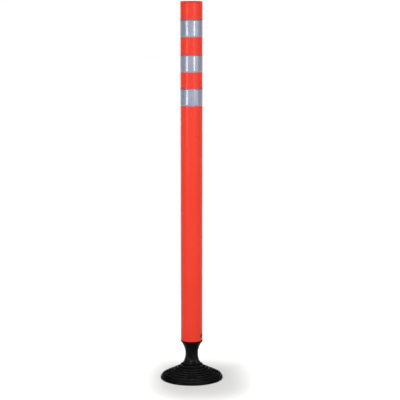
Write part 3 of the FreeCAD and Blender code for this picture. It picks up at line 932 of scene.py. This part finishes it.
def pin_head():
    """The pin's thin head, which follows the curve of the tube."""
    profile = [(0.0, 1.0), (0.35, 0.99), (0.6, 0.95), (0.8, 0.84), (0.92, 0.62), (0.98, 0.34),
               (1.0, 0.05), (1.0, -0.15)]
    points, rings = [], []
    for share, rise in profile:
        ring = []
        for side in spread(48):
            across = PIN_HEAD_RADIUS * share * math.cos(side)
            up = PIN_HEAD_RADIUS * share * math.sin(side)
            turn = PIN_AZIMUTH - math.pi / 2 + across / TUBE_RADIUS
            radius = TUBE_RADIUS + PIN_HEAD_THICKNESS * rise
            ring.append(len(points))
            points.append((radius * math.cos(turn), radius * math.sin(turn), PIN_Z + up))
        rings.append(ring)
    faces = [rings[0], list(reversed(rings[-1]))]
    for first, second in zip(rings, rings[1:]):
        for step in range(len(first)):
            after = (step + 1) % len(first)
            faces.append([first[step], first[after], second[after], second[step]])
    piece = mesh_object("pin_head", points, faces, 60.0)
    finish_piece(piece, "pin_steel", ["cross_pin"])
    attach(piece, "post")


def laid_along_pin(piece, towards_head=True):
    """Turns a piece made about Z so that its Z runs along the pin."""
    out, around, up = pin_axes()
    axis = out if towards_head else -out
    side = around if towards_head else -around
    turn = Matrix((side, up, axis)).transposed().to_4x4()
    piece.data.transform(Matrix.Translation((0.0, 0.0, PIN_Z)) @ turn)


def pin_shaft():
    """The pin's shaft, chamfered at the tail."""
    corners = [
        (0.0, -TUBE_RADIUS, 0.0),
        (PIN_RADIUS, -TUBE_RADIUS, 0.0),
        (PIN_RADIUS, PIN_TAIL, 0.9 * MM),
        (0.0, PIN_TAIL, 0.0),
    ]
    piece = lathe("pin_shaft", subdivided(rounded(corners), 8 * MM), segments=48)
    laid_along_pin(piece, towards_head=False)
    finish_piece(piece, "pin_steel", ["cross_pin"])
    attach(piece, "post")


def pin_retainer():
    """Push-on star washer on the pin's tail, curved to lie against the tube."""
    segments = RETAINER_STEPS * RETAINER_PRONGS
    seat = TUBE_RADIUS + RETAINER_SEAT
    points, faces = [], []
    for step in range(segments):
        angle = TURN * step / segments
        prong = (step % RETAINER_STEPS) < RETAINER_PRONG_STEPS
        inner = RETAINER_BORE if prong else RETAINER_SLOT
        for share, layer in ((0.0, 0), (0.55, 0), (1.0, 0), (1.0, 1), (0.55, 1), (0.0, 1)):
            radius = inner + (RETAINER_RADIUS - inner) * share
            dish = RETAINER_DISH * (1 - share)
            height = seat + dish + layer * RETAINER_THICKNESS
            turn = radius * math.cos(angle) / TUBE_RADIUS
            up = radius * math.sin(angle)
            points.append((height * math.sin(turn), up, height * math.cos(turn)))
    for step in range(segments):
        base, after = step * 6, ((step + 1) % segments) * 6
        for side in range(6):
            other = (side + 1) % 6
            faces.append([base + side, base + other, after + other, after + side])
    piece = mesh_object("retainer_star", points, faces, 35.0)
    laid_along_pin(piece, towards_head=False)
    finish_piece(piece, "pin_steel", ["pin_retainer"])
    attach(piece, "post")


def dress_hidden_parts():
    """Procedural finishes for the frame's own parts, whose shapes are right."""
    slots = {
        "base_plate": "plate_steel",
        "base_pad": "pad_rubber",
        "anchor_sleeves": "sleeve_steel",
        "lower_spring_mount": "zinc_steel",
        "mount_screws": "screw_steel",
        "cable_stop_lower": "zinc_steel",
        "cable_stop_upper": "zinc_steel",
        "upper_spring_mount": "zinc_steel",
        "tube_plug": "plug_nylon",
    }
    for node, slot in slots.items():
        mesh = frame["nodes"][node].data
        mesh.materials.clear()
        mesh.materials.append(MATERIALS[slot])


# ----------------------------------------------------------------------- studio


def area_light(name, place, target, width, height, power):
    """A soft rectangular lamp that looks at a target."""
    data = bpy.data.lights.new(name, "AREA")
    data.shape = "RECTANGLE"
    data.size = width
    data.size_y = height
    data.energy = power
    lamp = bpy.data.objects.new(name, data)
    lamp.location = place
    heading = Vector(target) - Vector(place)
    lamp.rotation_euler = heading.to_track_quat("-Z", "Y").to_euler()
    lamp.visible_camera = False
    bpy.context.collection.objects.link(lamp)


def upright_light(name, azimuth, distance, low, high, width, power):
    """An upright softbox that faces the post; azimuth is from the front, to the right."""
    turn = math.radians(azimuth)
    middle = (low + high) / 2
    place = (distance * math.sin(turn), -distance * math.cos(turn), middle)
    area_light(name, place, (0.0, 0.0, middle), width, high - low, power)


def soft_sun(name, azimuth, elevation, softness, strength):
    """A wide sun, so that the whole floor is lit alike."""
    data = bpy.data.lights.new(name, "SUN")
    data.angle = math.radians(softness)
    data.energy = strength
    lamp = bpy.data.objects.new(name, data)
    turn, rise = math.radians(azimuth), math.radians(elevation)
    towards = Vector((
        math.sin(turn) * math.cos(rise),
        -math.cos(turn) * math.cos(rise),
        math.sin(rise),
    ))
    lamp.rotation_euler = towards.to_track_quat("Z", "Y").to_euler()
    bpy.context.collection.objects.link(lamp)


def build_floor():
    """A wide pale floor."""
    size = FLOOR_REACH
    points = [(-size, -size, 0.0), (size, -size, 0.0), (size, size, 0.0), (-size, size, 0.0)]
    mesh = bpy.data.meshes.new("studio_floor")
    mesh.from_pydata(points, [], [(0, 1, 2, 3)])
    floor = bpy.data.objects.new("studio_floor", mesh)
    bpy.context.collection.objects.link(floor)
    floor.data.materials.append(floor_white())


def build_world():
    """An even, dim white surround."""
    world = bpy.data.worlds.new("studio")
    bpy.context.scene.world = world
    world.use_nodes = True
    background = world.node_tree.nodes["Background"]
    background.inputs["Color"].default_value = (1.0, 1.0, 1.0, 1.0)
    background.inputs["Strength"].default_value = SURROUND_STRENGTH


def build_lights():
    """Strips for the upright highlights, broad fills, and soft suns that lift the floor."""
    upright_light("strip_left", -47.0, 2.2, 0.52, 1.30, 0.54, 18.5)
    upright_light("strip_right", 28.5, 2.2, 0.77, 1.30, 0.30, 10.5)
    upright_light("fill_front", -6.0, 3.0, 0.35, 1.50, 3.0, 15.0)
    upright_light("fill_right", 50.0, 3.0, 0.35, 1.50, 2.6, 21.0)
    soft_sun("top_sun", 180.0, 80.0, 36.0, 2.95)
    soft_sun("front_sun", 0.0, 40.0, 60.0, 0.60)


def build_camera():
    """The camera that matches the post's outline."""
    data = bpy.data.cameras.new("camera")
    data.lens = CAMERA_LENS
    data.sensor_width = 36.0
    data.clip_end = 200.0
    camera = bpy.data.objects.new("camera", data)
    camera.location = (0.0, -CAMERA_DISTANCE, CAMERA_HEIGHT)
    camera.rotation_euler = (math.pi / 2 - CAMERA_PITCH, 0.0, -CAMERA_YAW)
    bpy.context.collection.objects.link(camera)
    bpy.context.scene.camera = camera
    bpy.context.scene.view_settings.view_transform = "Standard"


MATERIALS = build_materials()
build_camera()
base_moulding()
hub_collar()
boot_lower()
boot_upper()
neck_inside()
post_tube()
top_cap()
for band in (1, 2, 3):
    reflective_band(band)
pin_head()
pin_shaft()
pin_retainer()
dress_hidden_parts()
build_floor()
build_world()
build_lights()
